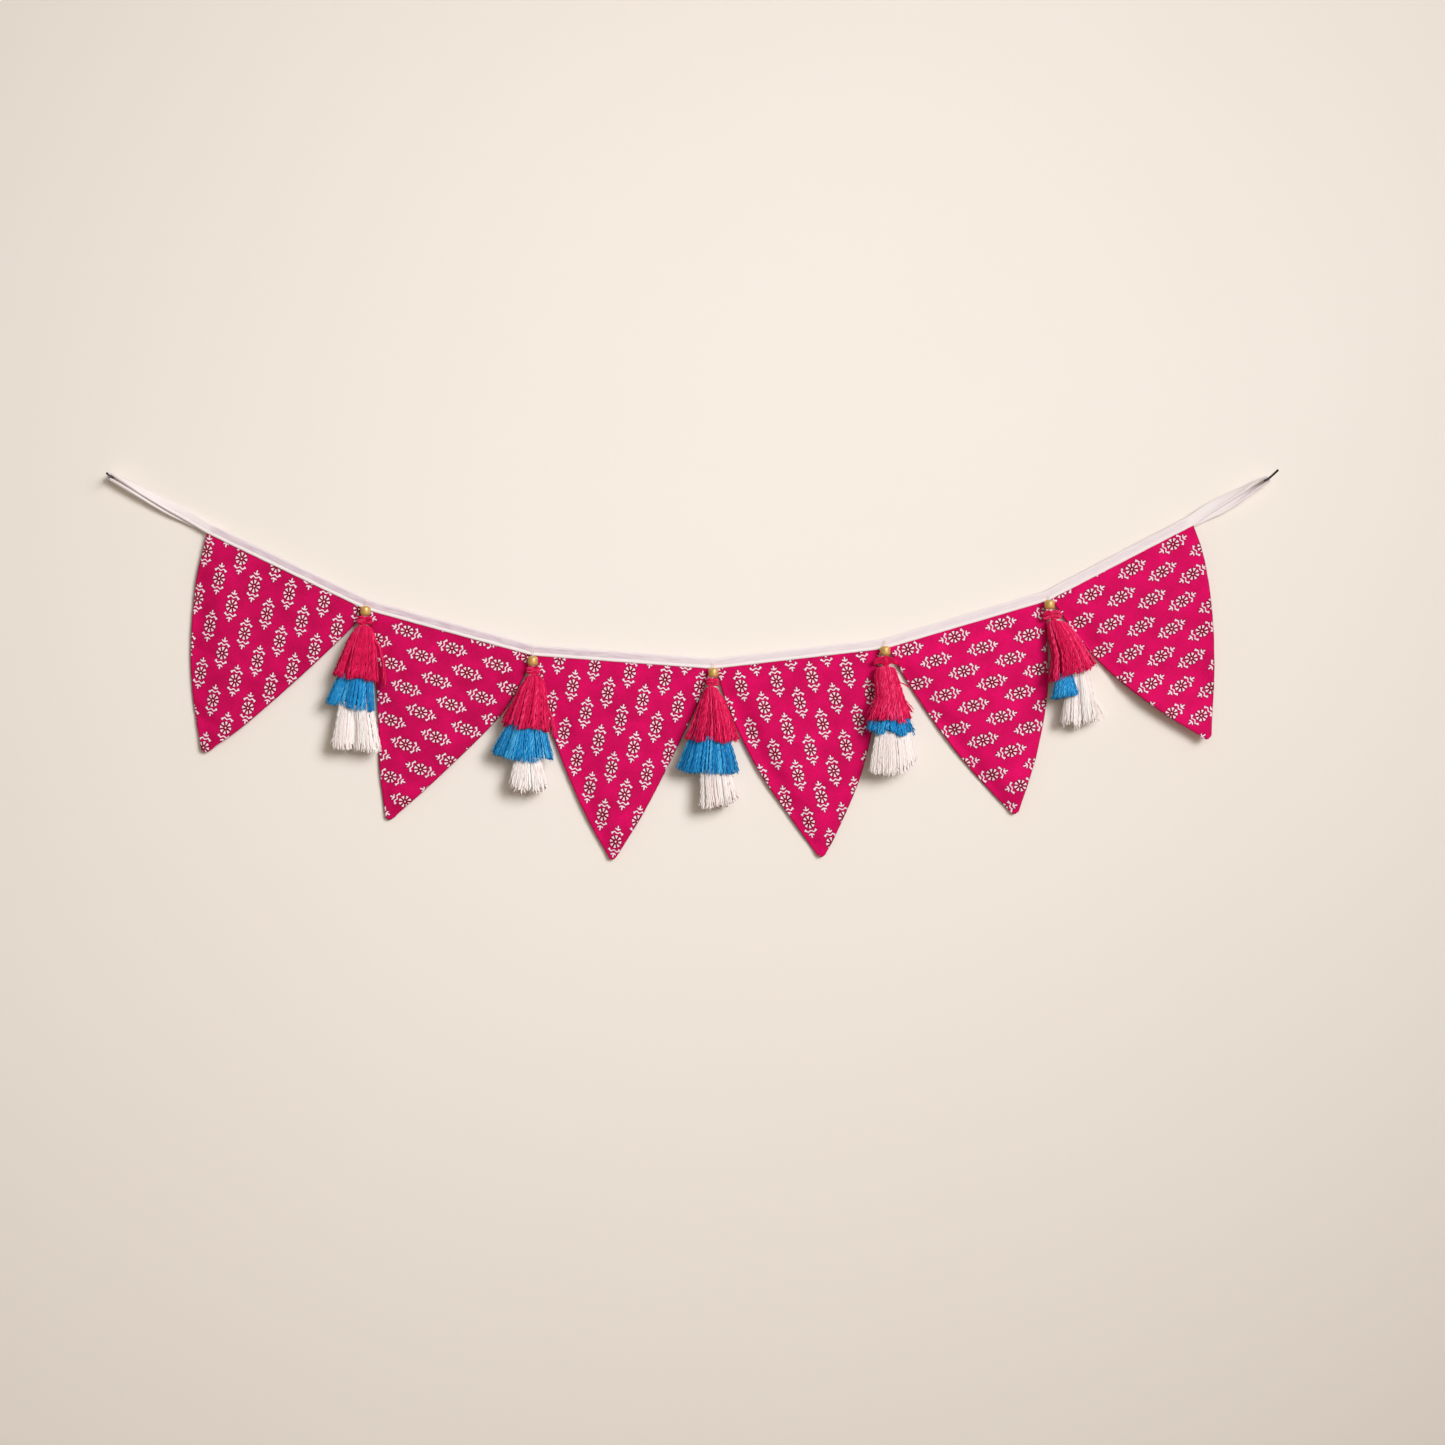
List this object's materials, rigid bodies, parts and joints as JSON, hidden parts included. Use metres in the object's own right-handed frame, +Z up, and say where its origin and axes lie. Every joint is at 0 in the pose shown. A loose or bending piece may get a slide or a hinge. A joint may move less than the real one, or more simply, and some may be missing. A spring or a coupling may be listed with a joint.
{
  "type": "fabric toran with two wall nails",
  "caption": "Sagging bunting of block-printed cotton pennants in a folded tape, with tiered floss tassels under beads, hung by end loops from nails in a wall.",
  "frame": {"origin": "on the wall, midway between the two nails", "axes": "+X to the viewer's right along the wall, +Y into the wall, +Z up; the toran hangs in front of the wall, at y < 0"},
  "size_m": [1.0135, 0.0323, 0.3375],
  "materials": {
    "tape": "matt white cotton bias tape",
    "pennant_cloth": "matt magenta cotton, block-printed",
    "bead": "gold-lacquered wood",
    "floss_magenta": "magenta cotton floss",
    "floss_blue": "blue cotton floss",
    "floss_white": "off-white cotton floss",
    "nail": "dark blued steel"
  },
  "bodies": {
    "root": {"heading_tape": "tape", "pennant_1": "pennant_cloth", "pennant_2": "pennant_cloth", "pennant_3": "pennant_cloth", "pennant_4": "pennant_cloth", "pennant_5": "pennant_cloth", "pennant_6": "pennant_cloth", "bead_1": "bead", "bead_2": "bead", "bead_3": "bead", "bead_4": "bead", "bead_5": "bead", "tassel_1_magenta": "floss_magenta", "tassel_1_blue": "floss_blue", "tassel_1_white": "floss_white", "tassel_2_magenta": "floss_magenta", "tassel_2_blue": "floss_blue", "tassel_2_white": "floss_white", "tassel_3_magenta": "floss_magenta", "tassel_3_blue": "floss_blue", "tassel_3_white": "floss_white", "tassel_4_magenta": "floss_magenta", "tassel_4_blue": "floss_blue", "tassel_4_white": "floss_white", "tassel_5_magenta": "floss_magenta", "tassel_5_blue": "floss_blue", "tassel_5_white": "floss_white", "nail_left": "nail", "nail_right": "nail"}
  },
  "joints": []
}
